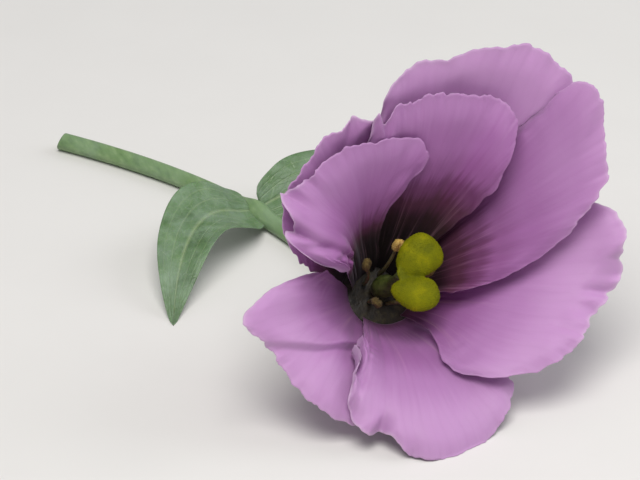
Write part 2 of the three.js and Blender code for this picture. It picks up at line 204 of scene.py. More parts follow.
def skin(name, inner, outer, marks, uv):
    rows, columns = inner.shape[:2]
    count = rows * columns
    index = np.arange(count).reshape(rows, columns)
    a, b = index[:-1, :-1].ravel(), index[:-1, 1:].ravel()
    c, d = index[1:, 1:].ravel(), index[1:, :-1].ravel()
    edge = np.concatenate([index[0], index[1:, -1], index[-1, -2::-1], index[-2:0:-1, 0]])
    after = np.roll(edge, -1)
    faces = np.concatenate([
        np.stack([a, b, c, d], 1), np.stack([a, d, c, b], 1) + count,
        np.stack([after, edge, edge + count, after + count], 1)])
    points = np.concatenate([inner.reshape(-1, 3), outer.reshape(-1, 3)])
    if enclosed_volume(points, faces) < 0:
        faces = faces[:, ::-1]
    both = {label: np.concatenate([np.ravel(grid)] * 2) for label, grid in marks.items()}
    both["outside"] = np.repeat([0.0, 1.0], count)
    return new_object(name, points, faces, both, np.concatenate([uv.reshape(-1, 2)] * 2))


# %% Lofts through rings
def loft(name, rings, marks=None):
    rings = np.asarray(rings, float)
    count, sides = rings.shape[:2]
    index = np.arange(count * sides).reshape(count, sides)
    beside = np.roll(index, -1, axis=1)
    faces = np.stack([index[:-1], beside[:-1], beside[1:], index[1:]], -1).reshape(-1, 4).tolist()
    points = np.concatenate([rings.reshape(-1, 3), [rings[0].mean(0)], [rings[-1].mean(0)]])
    first, last = count * sides, count * sides + 1
    faces += [[first, b, a] for a, b in zip(index[0], beside[0])]
    faces += [[last, a, b] for a, b in zip(index[-1], beside[-1])]
    if enclosed_volume(points, faces) < 0:
        faces = [face[::-1] for face in faces]
    around = np.tile(np.arange(sides) / sides, count)
    along = np.repeat(np.arange(count) / (count - 1), sides)
    uv = np.concatenate([np.stack([around, along], 1), [[0.5, 0], [0.5, 1]]])
    ends = {label: np.concatenate([np.ravel(grid), [np.ravel(grid)[0], np.ravel(grid)[-1]]])
            for label, grid in (marks or {}).items()}
    return new_object(name, points, faces, ends, uv)


def tube(name, centres, radii, sides, marks=None):
    centres = np.asarray(centres, float)
    tangent = np.gradient(centres, axis=0)
    tangent /= np.linalg.norm(tangent, axis=1, keepdims=True)
    across = np.cross(tangent, [0.31, 0.17, 0.93])
    across /= np.linalg.norm(across, axis=1, keepdims=True)
    third = np.cross(tangent, across)
    turn = 2 * np.pi * np.arange(sides) / sides
    ring = np.cos(turn)[None, :, None] * across[:, None] + np.sin(turn)[None, :, None] * third[:, None]
    return loft(name, centres[:, None] + ring * np.asarray(radii)[:, None, None], marks)


def joined(name, pieces):
    bpy.ops.object.select_all(action="DESELECT")
    for piece in pieces:
        piece.select_set(True)
    bpy.context.view_layer.objects.active = pieces[0]
    bpy.ops.object.join()
    whole = bpy.context.view_layer.objects.active
    whole.name = whole.data.name = name
    whole.select_set(False)
    return whole


# %% Every piece rides on the one body and stands for its solid
def dress(piece, node, material):
    piece.data.materials.clear()
    piece.data.materials.append(material)
    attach(piece, "root")
    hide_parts(node)
    print(piece.name, "for", node, len(piece.data.polygons), "faces")


# %% [markdown]
# ## Shader helpers
#
# The materials are built from node groups. These helpers add a node, a math step, a colour mix or
# a colour ramp in one line each, and hand back its output socket, so that a group reads from the
# top down like a recipe.

# %% Nodes in one line
def srgb(red, green, blue):
    def linear(value):
        value /= 255
        return value / 12.92 if value <= 0.04045 else ((value + 0.055) / 1.055) ** 2.4
    return (linear(red), linear(green), linear(blue), 1)


def feed(tree, socket, value):
    if isinstance(value, bpy.types.NodeSocket):
        tree.links.new(value, socket)
    elif value is not None:
        socket.default_value = value


def node(tree, kind, inputs=None, **settings):
    made = tree.nodes.new(kind)
    for key, value in settings.items():
        setattr(made, key, value)
    for key, value in (inputs or {}).items():
        feed(tree, made.inputs[key], value)
    return made


def sums(tree, operation, *values):
    return node(tree, "ShaderNodeMath", dict(enumerate(values)), operation=operation).outputs[0]


def plus(tree, first, second):
    return sums(tree, "ADD", first, second)


def less(tree, first, second):
    return sums(tree, "SUBTRACT", first, second)


def times(tree, first, second):
    return sums(tree, "MULTIPLY", first, second)


def coords(tree, kind="Object"):
    return node(tree, "ShaderNodeTexCoord").outputs[kind]


def remap(tree, value, to_low, to_high, low=0.0, high=1.0):
    made = node(tree, "ShaderNodeMapRange", {
        "Value": value, "From Min": low, "From Max": high, "To Min": to_low, "To Max": to_high})
    return made.outputs["Result"]


def blend(tree, share, first, second, how="MIX"):
    made = node(tree, "ShaderNodeMix", data_type="RGBA", blend_type=how)
    for place, value in ((0, share), (6, first), (7, second)):
        feed(tree, made.inputs[place], value)
    return made.outputs[2]


def ramp(tree, value, stops):
    made = node(tree, "ShaderNodeValToRGB", {"Fac": value})
    band = made.color_ramp
    band.interpolation = "EASE"
    while len(band.elements) < len(stops):
        band.elements.new(0.5)
    for element, (place, colour) in zip(band.elements, stops):
        element.position = place
        element.color = srgb(*colour) if isinstance(colour, tuple) else (colour, colour, colour, 1)
    return made.outputs["Color"]


def grain(tree, vector, scale, detail=2.0, roughness=0.5):
    made = node(tree, "ShaderNodeTexNoise",
                {"Vector": vector, "Scale": scale, "Detail": detail, "Roughness": roughness})
    return made.outputs["Fac"]


def stretched(tree, vector, scale):
    made = node(tree, "ShaderNodeVectorMath", {0: vector, 1: scale}, operation="MULTIPLY")
    return made.outputs["Vector"]


def mark(tree, label):
    return node(tree, "ShaderNodeAttribute", attribute_name=label).outputs["Fac"]


def new_group(name, inputs, outputs):
    tree = bpy.data.node_groups.new(name, "ShaderNodeTree")
    for label, kind, value in inputs:
        socket = tree.interface.new_socket(label, in_out="INPUT", socket_type="NodeSocket" + kind)
        if value is not None:
            socket.default_value = value
    for label, kind in outputs:
        tree.interface.new_socket(label, in_out="OUTPUT", socket_type="NodeSocket" + kind)
    return tree, tree.nodes.new("NodeGroupInput").outputs, tree.nodes.new("NodeGroupOutput").inputs


def place_group(tree, group, **values):
    made = tree.nodes.new("ShaderNodeGroup")
    made.node_tree = group
    for label, value in values.items():
        feed(tree, made.inputs[label.replace("_", " ")], value)
    return made.outputs


def new_material(name, **constants):
    material = bpy.data.materials.new(name)
    material.use_nodes = True
    tree = material.node_tree
    shader = tree.nodes["Principled BSDF"]
    for label, value in constants.items():
        shader.inputs[label.replace("_", " ")].default_value = value
    return material, tree, shader


def coloured(tree, shader, colour, roughness=None):
    feed(tree, shader.inputs["Base Color"], colour)
    feed(tree, shader.inputs["Roughness"], roughness)


def bumped(tree, shader, height, distance, strength=1.0):
    made = node(tree, "ShaderNodeBump", {"Strength": strength, "Distance": distance * MM})
    feed(tree, made.inputs["Height"], height)
    tree.links.new(made.outputs["Normal"], shader.inputs["Normal"])


# %% [markdown]
# ## Veins that fan and fork
#
# A petal's veins leave its foot side by side, spread as it widens, and fork on the way to the
# edge. The petal's UV map runs from side to side and from foot to edge, so straight lines in it
# already fan out on the petal. A second, closer set of lines fades in towards the edge, which
# reads as the forks. The group gives one mask, which serves both the colour and the bump.

# %% Node group: veins
veins_group, given, result = new_group(
    "fanning_veins",
    [("UV", "Vector", None), ("Count", "Float", 9.0), ("Wander", "Float", 0.05), ("Fork", "Float", 0.5)],
    [("Veins", "Float")])
tree = veins_group
wander = times(tree, less(tree, grain(tree, given["UV"], 2.6, 1), 0.5), given["Wander"])
parts = node(tree, "ShaderNodeSeparateXYZ", {0: given["UV"]}).outputs
across = plus(tree, parts["X"], wander)


def vein_lines(count):
    saw = sums(tree, "PINGPONG", times(tree, across, count), 0.5)
    return sums(tree, "POWER", less(tree, 1.0, times(tree, saw, 2.0)), 5.0)


main_lines = vein_lines(given["Count"])
fork_lines = vein_lines(times(tree, given["Count"], 2.0))
forked = times(tree, fork_lines, remap(tree, parts["Y"], 0.0, 1.0, 0.35, 0.8))
lines = sums(tree, "MAXIMUM", main_lines, times(tree, forked, given["Fork"]))
tree.links.new(lines, result["Veins"])
print("group:", veins_group.name)

# %% [markdown]
# ## Petal colour
#
# The lilac is not even. It is plum in the throat, violet on the walls of the cup and pale at the lip, and the
# change runs in fine streaks along the petal, because the pigment sits in rows of cells. The near-black at
# the very foot is partly the dark eye's own pigment and partly painted shade of the deep throat. Noise
# stretched along the UV map moves the ramp up and down to make those streaks.

# %% Node group: petal colour
flush_group, given, result = new_group(
    "petal_flush",
    [("UV", "Vector", None), ("Pale Edge", "Float", 0.0), ("Tone", "Float", 0.0), ("Outside", "Float", 0.0),
     ("Veins", "Float", 0.0)],
    [("Colour", "Color"), ("Streaks", "Float")])
tree = flush_group
streaks = grain(tree, stretched(tree, given["UV"], (26, 1.6, 1)), 1.0, 4, 0.6)
clouds = grain(tree, given["UV"], 3.2, 3)
way = node(tree, "ShaderNodeSeparateXYZ", {0: given["UV"]}).outputs["Y"]
shifted_way = plus(tree, way, times(tree, less(tree, streaks, 0.5), 0.17))
# Inside ramp: plum to near-black at the foot, partly pigment and partly painted shade of the throat.
inside = ramp(tree, plus(tree, shifted_way, given["Tone"]), [
    (0.0, (24, 20, 11)), (0.12, (44, 27, 27)), (0.25, (78, 40, 60)),
    (0.34, (106, 58, 97)), (0.43, (140, 88, 138)), (0.56, (155, 104, 156)),
    (0.77, (172, 126, 174)), (1.0, (186, 144, 188))])
outside = ramp(tree, shifted_way, [
    (0.0, (158, 168, 128)), (0.2, (168, 144, 160)), (0.5, (164, 122, 167)),
    (1.0, (188, 148, 191))])
flush = blend(tree, given["Outside"], inside, outside)
flush = blend(tree, times(tree, clouds, 0.3), flush, srgb(206, 168, 208), "SOFT_LIGHT")
flush = blend(tree, times(tree, given["Veins"], 0.045), flush, srgb(120, 62, 116))
in_throat = ramp(tree, way, [(0.06, 0.0), (0.18, 1.0), (0.4, 0.5), (0.58, 0.0)])
pale_rows = remap(tree, streaks, 0.0, 0.34, 0.54, 0.72)
flush = blend(tree, times(tree, in_throat, pale_rows), flush, srgb(196, 152, 164))
# Pale margin, partly the edge's own colour and partly a painted highlight.
flush = blend(tree, times(tree, given["Pale Edge"], clouds), flush, srgb(232, 208, 230))
tree.links.new(flush, result["Colour"])
tree.links.new(streaks, result["Streaks"])
print("group:", flush_group.name)

# %% [markdown]
# ## The petal material
#
# A petal is a thin, soft, damp sheet: light goes in and comes out again nearby, so it gets
# subsurface scattering, and its velvety cells give a faint sheen. The veins are slight grooves.

# %% Petal material
petal_material, tree, shader = new_material(
    "petal", Subsurface_Weight=0.28, Subsurface_Scale=0.0014, Sheen_Weight=0.15, Sheen_Roughness=0.4,
    Specular_IOR_Level=0.3, Subsurface_Radius=(1.0, 0.75, 0.95), Sheen_Tint=srgb(236, 222, 240))
uv = coords(tree, "UV")
veins = place_group(tree, veins_group, UV=uv, Count=12.0, Wander=0.12, Fork=0.6)["Veins"]
flush = place_group(tree, flush_group, UV=uv, Pale_Edge=mark(tree, "pale_edge"), Tone=mark(tree, "tone"),
                    Outside=mark(tree, "outside"), Veins=veins)
coloured(tree, shader, flush["Colour"], remap(tree, flush["Streaks"], 0.46, 0.64))
cells = grain(tree, coords(tree), 2200.0, 1)
relief = less(tree, plus(tree, times(tree, cells, 0.3), flush["Streaks"]),
              times(tree, veins, 0.25))
bumped(tree, shader, relief, 0.1, 0.45)
print("material:", petal_material.name)

# %% [markdown]
# ## Petals
#
# Each petal takes its outline from the solid model: how far it reaches along the bell at places
# across it. The thin petal adds what soft tissue does near a free edge: it grows faster than the
# middle, so it throws up frills, and the edge line itself is a little uneven. The frills are
# stronger where the photograph shows them. The side edge that lies over a neighbour lifts off it,
# the lip rolls back, and one petal has a pleat where it was folded in the bud. Two petals also bulge
# at a side edge, and one of them laps far over the next.

# %% [markdown]
# The table below gives frills, pockets and nicks as (place across, amount in mm, width). Lift is in mm at the
# low and high side, and overlap and bulges are in degrees round the bell. Tone slides the colour towards the
# lip's lilac when positive, and foot tone does so only near the foot. Both are partly the petals' own
# differences and partly painted light and shade: they make the inner petals, which turn down and away from
# the light, darker, and the outer petals paler.

# %% The petals' numbers
PETALS = [
    {"node": "petal_outer_top", "bell": OUTER_BELL, "azimuth": 50, "spread": 44, "cup": 0.6,
     "outline": [(-1, .6), (-.8, .86), (-.4, .98), (0, 1.01), (.25, .98), (.55, .9), (.86, .82), (1, .6)],
     "tone": 0.16, "lift": (0.0, 0.0), "roll": 1.3,
     "frills": [(-0.7, 0.5, 0.3), (0.7, 0.5, 0.3)]},
    {"node": "petal_outer_left", "bell": OUTER_BELL, "azimuth": 128, "spread": 38, "cup": 0.4,
     "outline": [(-1, .55), (-.82, .8), (-.39, .86), (.13, .86), (.5, .84), (.8, .78), (1, .55)],
     "tone": 0.0, "lift": (-1.2, 0.0), "roll": 0.8,
     "frills": [(-0.7, 1.0, 0.3)], "nicks": [(-0.55, 0.8, 0.03)]},
    {"node": "petal_outer_lower_left", "bell": OUTER_BELL, "azimuth": 206, "spread": 40, "cup": -0.5,
     "outline": [(-1, .36), (-.9, .5), (-.7, .8), (-.475, 1.01), (-.19, .93), (.33, .99), (.75, .92),
                 (.9, .8), (1, .55)],
     "tone": 0.22, "foot_tone": 0.18, "lift": (0.2, -0.8), "roll": 0.7,
     "frills": [(-0.45, 0.4, 0.2), (0.95, 0.9, 0.25)], "nicks": [(0.8, 0.8, 0.03)]},
    {"node": "petal_outer_bottom", "bell": OUTER_BELL, "azimuth": 265, "spread": 40, "cup": -0.9,
     "outline": [(-1, .58), (-.88, .84), (-.68, .95), (-.42, .91), (-.3, .97), (.22, .98), (.64, .9),
                 (.88, .77), (1, .55)],
     "tone": 0.18, "foot_tone": 0.14, "lift": (1.7, -0.5), "roll": 0.9, "ragged": 0.13,
     "frills": [(-0.95, 1.6, 0.3), (-0.5, 0.8, 0.2)], "pockets": [(-0.8, 1.2, 0.05), (-0.5, 1.2, 0.05)],
     "nicks": [(-0.8, 1.3, 0.035), (-0.5, 1.4, 0.03)]},
    {"node": "petal_outer_lower_right", "bell": OUTER_BELL, "azimuth": 337, "spread": 42, "cup": -0.4,
     "outline": [(-1, .5), (-.85, .74), (-.6, .89), (-.3, .95), (-.12, .93), (.15, .98), (.58, .97),
                 (.8, .8), (1, .5)],
     "tone": 0.22, "lift": (1.4, 0.0), "roll": 0.9, "side_bulge": 15,
     "frills": [(0.0, 1.3, 0.3), (0.5, 0.7, 0.3)], "pockets": [(-0.24, 1.1, 0.05), (0.1, 1.5, 0.05)],
     "nicks": [(-0.24, 0.8, 0.03), (0.1, 0.9, 0.03), (0.33, 0.6, 0.03)]},
    {"node": "petal_inner_right", "bell": INNER_BELL, "azimuth": 6, "spread": 35, "cup": 0.5,
     "outline": [(-1, .36), (-.61, .55), (-.34, .7), (-.07, .85), (.15, .96), (.4, .99), (.75, 1.03),
                 (.92, .97), (1, .75)],
     "tone": -0.08, "lift": (1.0, 0.0), "roll": 1.1,
     "frills": [(0.1, 0.4, 0.3)], "nicks": [(0.1, 0.5, 0.04)]},
    {"node": "petal_inner_top", "bell": INNER_BELL, "azimuth": 68, "spread": 36, "cup": 0.9,
     "outline": [(-1, .58), (-.73, .76), (-.5, .86), (-.12, .92), (.2, .93), (.4, .91), (.58, .93),
                 (.73, .88), (.84, .97), (1, .78)],
     "tone": -0.15, "foot_tone": -0.06, "lift": (3.0, 0.2), "roll": 1.5, "belly": 1.6,
     "frills": [(0.85, 0.5, 0.15)], "nicks": [(0.74, 0.8, 0.03)]},
    {"node": "petal_inner_left", "bell": INNER_BELL, "azimuth": 130, "spread": 38, "cup": -0.5,
     "outline": [(-1, .6), (-.84, .72), (-.53, .82), (-.06, .91), (.26, .93), (.5, 1), (.66, .93),
                 (.83, .96), (.92, .7), (1, .5)],
     "tone": -0.07, "foot_tone": -0.24, "lift": (1.6, 1.0), "roll": 1.0, "belly": 1.2, "overlap": 31,
     "far_bulge": 7,
     "frills": [(0.5, 1.0, 0.25), (0.85, 0.9, 0.2)], "pockets": [(0.4, 2.2, 0.08), (0.68, 2.0, 0.06)],
     "nicks": [(0.39, 1.2, 0.04), (0.68, 1.6, 0.03)]},
]
FOOT_SPREAD, FOOT_TILT = 39, 0.62
RIM_LENGTH, NICK_LENGTH = 46, 48
FRILL_SIZE, FRILL_BAND, SMALL_FRILL_BAND, POCKET_BAND, ROLL_BAND = 2.0, 7, 3, 9, 7
PLEATED_PETAL, PLEAT_STEP = "petal_outer_lower_left", 0.9
PLEAT = [(0, 1.6), (0.22, 0.99), (0.43, 0.44), (0.66, 0.11), (0.78, -0.06), (0.9, -0.2), (1.1, -0.36)]
PETAL_ROWS, PETAL_COLUMNS = 96, 150
FOOT_THICKNESS, MIDDLE_THICKNESS, EDGE_THICKNESS = 0.5, 0.32, 0.14


# %% Hills and smooth noise
def waves(x, y, seed):
    pairs = zip(np.ravel(x).tolist(), np.ravel(y).tolist())
    return np.reshape([noise.noise(Vector((a, b, seed * 7.3))) for a, b in pairs], np.shape(x))


def hill(x, at, width):
    return np.exp(-(((x - at) / width) ** 2))


def hills(x, places):
    return sum((amount * hill(x, at, width) for at, amount, width in places), np.zeros_like(x))


def soft_least(a, b, softness):
    return -softness * np.log(np.exp(-a / softness) + np.exp(-b / softness))


# %% A petal's outline, and the relief of its surface
def petal_edges(petal, share, across, seed):
    reach = through(petal["outline"], across)
    uneven = 0.8 * waves(across * 11, 0 * across, seed) + 0.5 * waves(across * 30, 0 * across, seed + 40)
    reach = reach + share ** 8 * (uneven - hills(across, petal.get("nicks", ()))) / NICK_LENGTH
    way = share * reach
    spread = FOOT_SPREAD + (petal["spread"] - FOOT_SPREAD) * ease(way / 0.4)
    uneven = waves(way * 12, np.sign(across), seed) + 0.5 * waves(way * 28, np.sign(across), seed + 40)
    wider = 1 + petal.get("ragged", 0.06) * uneven * np.abs(across) ** 6 * ease(way / 0.4)
    low_side = np.maximum(0, -across)
    azimuth = petal["azimuth"] + across * spread * wider
    over = ease((way - 0.4) / 0.4) - 0.4 * hill(way, 0.3, 0.15)
    azimuth -= petal.get("overlap", 0) * low_side * over
    azimuth -= petal.get("side_bulge", 0) * low_side * hill(way, 0.55, 0.25)
    azimuth += petal.get("far_bulge", 0) * np.maximum(0, across) * hill(way, 0.72, 0.22)
    return reach, way, spread, azimuth


def petal_relief(petal, share, across, way, edge, seed):
    round_it = np.arctan2(across, 2 * (share - 0.35))
    small_share = 0.4 * ease(1 - edge / SMALL_FRILL_BAND) * ease((share - 0.5) / 0.4)
    ruffles = (ease(1 - edge / FRILL_BAND) * waves(round_it * 8, share, seed)
               + small_share * waves(round_it * 20, share, seed + 10))
    relief = (0.35 + hills(across, petal["frills"])) * FRILL_SIZE * ease((way - 0.25) / 0.45) * ruffles
    relief -= hills(across, petal.get("pockets", ())) * ease(1 - edge / POCKET_BAND) * way
    relief -= petal["roll"] * ease(1 - edge / ROLL_BAND) ** 2 * ease(way / 0.5)
    relief += petal.get("belly", 0) * hill(way, 0.62, 0.2)
    low_lift, high_lift = petal["lift"]
    lift = low_lift * ease((-across - 0.2) / 0.8) + high_lift * ease((across - 0.2) / 0.8)
    relief += ease(way / 0.6) * lift
    relief += ease(way / 0.4) * (1.0 * waves(across * 1.6, way * 1.4, seed + 20)
                                 + 0.5 * waves(across * 4.5, way * 1.2, seed + 30))
    if petal["node"] == PLEATED_PETAL:
        beside = across - through(PLEAT, way)
        relief -= PLEAT_STEP * ease(way / 0.4) * np.tanh(beside / 0.03) * np.exp(-np.abs(beside) / 0.3)
    return relief


# %% One petal's grid
def petal_grids(petal, seed):
    share, across = np.meshgrid(np.linspace(0, 1, PETAL_ROWS), np.linspace(-1, 1, PETAL_COLUMNS),
                                indexing="ij")
    bell = petal["bell"]
    reach, way, spread, azimuth = petal_edges(petal, share, across, seed)
    point, normal = bell_point(bell, azimuth, way), bell_normal(bell, azimuth, way)
    from_rim = (1 - share) * reach * RIM_LENGTH
    from_side = (1 - np.abs(across)) * np.radians(spread) * np.linalg.norm(point[..., :2], axis=-1)
    edge = np.maximum(0, soft_least(from_rim, from_side, 1.2) + 0.4)
    turn = np.radians(azimuth)
    ripple = bell["ripple"] * way ** 3 * (0.6 * np.sin(7 * turn + 0.7) + 0.5 * np.sin(11 * turn + 2.1))
    offset = (-(FOOT_TILT + (bell["tilt"] - FOOT_TILT) * way) * across
              + petal["cup"] * (across * way) ** 2 + ripple)
    offset += petal_relief(petal, share, across, way, edge, seed)
    thickness = MIDDLE_THICKNESS + (FOOT_THICKNESS - MIDDLE_THICKNESS) * ease(1 - way / 0.35)
    thickness = EDGE_THICKNESS + (thickness - EDGE_THICKNESS) * ease(edge / 2.5)
    frilled = np.minimum(0.6, hills(across, petal["frills"]))
    # Pale margin: partly the thin edge's own paler colour, partly a painted highlight where the frills catch
    # the light.
    pale = ease(1 - edge / 1.3) * ease((way - 0.3) / 0.3) * (0.08 + frilled)
    return across, way, point, normal, offset, thickness, pale


def pressed(points, least):
    points[..., 2] = np.maximum(points[..., 2], least)
    return points


# %% Make the petals
for seed, petal in enumerate(PETALS, 1):
    across, way, point, normal, offset, thickness, pale = petal_grids(petal, seed)
    inner = pressed(bloom_to_row(point + normal * (offset + thickness / 2)[..., None]), thickness)
    outer = pressed(bloom_to_row(point + normal * (offset - thickness / 2)[..., None]), 0)
    uv = np.stack([0.5 + across / 2 + seed, way], -1)
    # Tone: partly the petal's own colour, partly painted light and shade for how the petal faces the light.
    tone = petal["tone"] + petal.get("foot_tone", 0) * (1 - ease((way - 0.2) / 0.25))
    marks = {"pale_edge": pale, "tone": tone}
    piece = skin(petal["node"].replace("petal_", "petal_blade_"), inner, outer, marks, uv)
    dress(piece, petal["node"], petal_material)

# %% [markdown]
# ## Waxy green
#
# The stem, the leaves and the sepals share a bluish wax bloom that rubs off in patches. One group
# puts it over any green: it lightens and greys the colour and makes it rougher where it is thick.

# %% Node group: wax bloom
wax_group, given, result = new_group(
    "wax_bloom",
    [("Colour", "Color", srgb(98, 124, 84)), ("Wax", "Color", srgb(150, 170, 150)), ("Amount", "Float", 0.5),
     ("Patch Size", "Float", 300.0)],
    [("Colour", "Color"), ("Roughness", "Float"), ("Patches", "Float")])
tree = wax_group
place = coords(tree)
patches = grain(tree, place, given["Patch Size"], 4, 0.6)
fine = grain(tree, place, 2600.0, 1)
share_of_wax = times(tree, remap(tree, patches, 0.0, 1.0, 0.35, 0.68), given["Amount"])
tree.links.new(blend(tree, share_of_wax, given["Colour"], given["Wax"]), result["Colour"])
tree.links.new(plus(tree, 0.38, times(tree, share_of_wax, 0.4)), result["Roughness"])
tree.links.new(plus(tree, times(tree, fine, 0.4), patches), result["Patches"])
print("group:", wax_group.name)

# %% [markdown]
# ## Calyx
#
# Under the petals sits a short green cup, grown together with five narrow sepals that have a keel
# along the back and end in a long thread-like point. The cup is turned, and each sepal is a loft
# that starts inside the cup and follows the petals' outer face at a small distance.

# %% Calyx material
calyx_material, tree, shader = new_material(
    "calyx_green", Subsurface_Weight=0.12, Subsurface_Scale=0.0012, Subsurface_Radius=(0.6, 1.0, 0.3))
uv = coords(tree, "UV")
lines = grain(tree, stretched(tree, uv, (24, 2.0, 1)), 1.0, 3)
green = ramp(tree, lines, [(0.3, (84, 116, 62)), (0.5, (106, 138, 78)), (0.75, (140, 162, 104))])
green = blend(tree, times(tree, mark(tree, "tip"), 0.55), green, srgb(150, 140, 96))
waxed = place_group(tree, wax_group, Colour=green, Amount=0.35, Patch_Size=420.0)
mottling = grain(tree, coords(tree), 700.0, 4, 0.6)
# Painted shade: the top of the cup, down in the throat, gets a near-black brown that stands in for the deep
# shade there.
throat_painted_shade = ramp(tree, mottling, [(0.3, (16, 12, 7)), (0.5, (40, 30, 15)), (0.7, (68, 60, 30))])
coloured(tree, shader, blend(tree, mark(tree, "painted_shade_top"), waxed["Colour"], throat_painted_shade), waxed["Roughness"])
bumped(tree, shader, plus(tree, lines, waxed["Patches"]), 0.12)

# %% Calyx
CUP_RADIUS, CUP_DEPTH = 7.4, 5
SEPAL_COUNT, SEPAL_FIRST, SEPAL_REACH = 5, 30, 0.37
SEPAL_HALF_WIDTH, SEPAL_HALF_DEPTH, SEPAL_CLEAR, SEPAL_BOW = 1.9, 0.8, 2.1, 2.1
CUP_PROFILE = [(0.4, -5.0), (1.55, -5.0), (1.8, -4.9), (2.1, -4.6), (3.0, -3.95), (4.4, -3.35), (6.1, -2.75),
               (7.0, -2.0), (7.35, -1.3), (7.4, -0.6), (7.15, -0.15), (6.7, 0.0), (5.0, 0.0), (2.5, 0.0),
               (0.4, 0.0)]


def turned(profile, sides, ribs=0, rib_height=0.0, axis=(0, 0)):
    turn = 2 * np.pi * np.arange(sides) / sides
    rings = []
    for radius, height in profile:
        r = radius + rib_height * min(radius, 1.0) * np.cos(ribs * turn)
        rings.append(np.stack([axis[0] + r * np.cos(turn), axis[1] + r * np.sin(turn),
                               np.full(sides, height)], -1))
    return bloom_to_row(rings)


def sepal_rings(azimuth, rows=40):
    turn = math.radians(azimuth)
    across = np.array([-math.sin(turn), math.cos(turn), 0])
    angle = np.linspace(0, 2 * np.pi, 20, endpoint=False)
    keel = np.where(np.sin(angle) < 0, 1 + 0.9 * np.exp(-((np.cos(angle) / 0.35) ** 2)), 0.6)
    rings = []
    for share in np.linspace(0, 1, rows):
        way = share * SEPAL_REACH
        inward = bell_normal(OUTER_BELL, float(azimuth), way)
        centre = bell_point(OUTER_BELL, float(azimuth), way) - inward * (SEPAL_CLEAR + SEPAL_BOW * share ** 2)
        root = np.array([(CUP_RADIUS - 1.3) * math.cos(turn), (CUP_RADIUS - 1.3) * math.sin(turn), -1.9])
        centre = root + (centre - root) * ease(share / 0.12)
        belly = 0.75 + 0.35 * math.sin(math.pi * min(1, share * 1.6))
        half = SEPAL_HALF_WIDTH * (1 - share ** 1.4) * belly + 0.12
        depth = (SEPAL_HALF_DEPTH * (1 - share) + 0.12) * 0.7
        rings.append(centre + np.outer(np.cos(angle) * half, across)
                     + np.outer(np.sin(angle) * depth * keel, inward))
    return bloom_to_row(rings)


cup_rings = turned(CUP_PROFILE, 96, ribs=10, rib_height=0.08)
# Mark the cup's top inside the throat, which gets the painted shade.
painted_shade_top = np.repeat([[float(height > -0.2)] for radius, height in CUP_PROFILE], cup_rings.shape[1], 1)
parts = [loft("cup", cup_rings, {"tip": 0 * painted_shade_top, "painted_shade_top": painted_shade_top})]
for k in range(SEPAL_COUNT):
    rings = sepal_rings(SEPAL_FIRST + k * 360 / SEPAL_COUNT)
    tip = np.repeat(np.linspace(0, 1, len(rings))[:, None] ** 4, rings.shape[1], 1)
    parts.append(loft("sepal", rings, {"tip": tip, "painted_shade_top": 0 * tip}))
calyx = joined("calyx_cup_and_sepals", parts)
dress(calyx, "calyx", calyx_material)

# %% [markdown]
# ## Ovary and style
#
# The ovary is a two-chambered egg with a groove down each side, narrowing to the style that
# carries the stigma. It is turned with two ribs, and its style is long enough to root the stigma.

# %% Ovary and style
pistil_material, tree, shader = new_material(
    "pistil_green", Subsurface_Weight=0.15, Subsurface_Scale=0.001, Subsurface_Radius=(0.7, 1.0, 0.2))
place = coords(tree)
# The ovary's own olive green, darkened as painted shade of the throat.
green = ramp(tree, grain(tree, place, 900.0, 3), [
    (0.3, (52, 60, 22)), (0.55, (72, 82, 32)), (0.8, (96, 104, 46))])
waxed = place_group(tree, wax_group, Colour=green, Wax=srgb(112, 120, 72), Amount=0.3, Patch_Size=900.0)
coloured(tree, shader, waxed["Colour"], waxed["Roughness"])
bumped(tree, shader, waxed["Patches"], 0.08)

profile = [(0.3, 0.35), (1.1, 0.37), (1.5, 0.6), (1.85, 1.6), (2.1, 3.0), (2.2, 4.2), (2.05, 5.3),
           (1.65, 6.4), (1.15, 7.4), (0.9, 8.4), (0.8, 9.6), (0.78, 11.5), (0.82, 13.5), (0.95, 14.5),
           (0.9, 15.2), (0.3, 15.4)]
ovary = loft("ovary_with_style", turned(profile, 48, ribs=2, rib_height=0.12))
dress(ovary, "ovary_and_style", pistil_material)

# %% [markdown]
# ## Stigma
#
# The two fat lobes of the stigma are the brightest spot of the bloom. They are soft and covered
# with tiny bead-like cells. Two squashed balls and a neck are fused with a voxel remesh, which
# leaves a rounded saddle between the lobes, and Geometry Nodes strew the beads over the surface.

# %% Stigma material
stigma_material, tree, shader = new_material(
    "stigma_velvet", Subsurface_Weight=0.25, Subsurface_Scale=0.0008, Specular_IOR_Level=0.15,
    Subsurface_Radius=(1.0, 0.9, 0.1))
place = coords(tree)
tone = grain(tree, place, 300.0, 3, 0.6)
yellow = ramp(tree, tone, [(0.3, (98, 102, 0)), (0.5, (114, 116, 0)), (0.75, (138, 136, 4))])
coloured(tree, shader, yellow, remap(tree, tone, 0.6, 0.85))
bumped(tree, shader, grain(tree, place, 3500.0, 2), 0.08)


# %% Stigma lobes
def turned_by(points, angle, first, second):
    moved = np.array(points, float)
    sin, cos = math.sin(angle), math.cos(angle)
    moved[..., first] = points[..., first] * cos - points[..., second] * sin
    moved[..., second] = points[..., first] * sin + points[..., second] * cos
    return moved


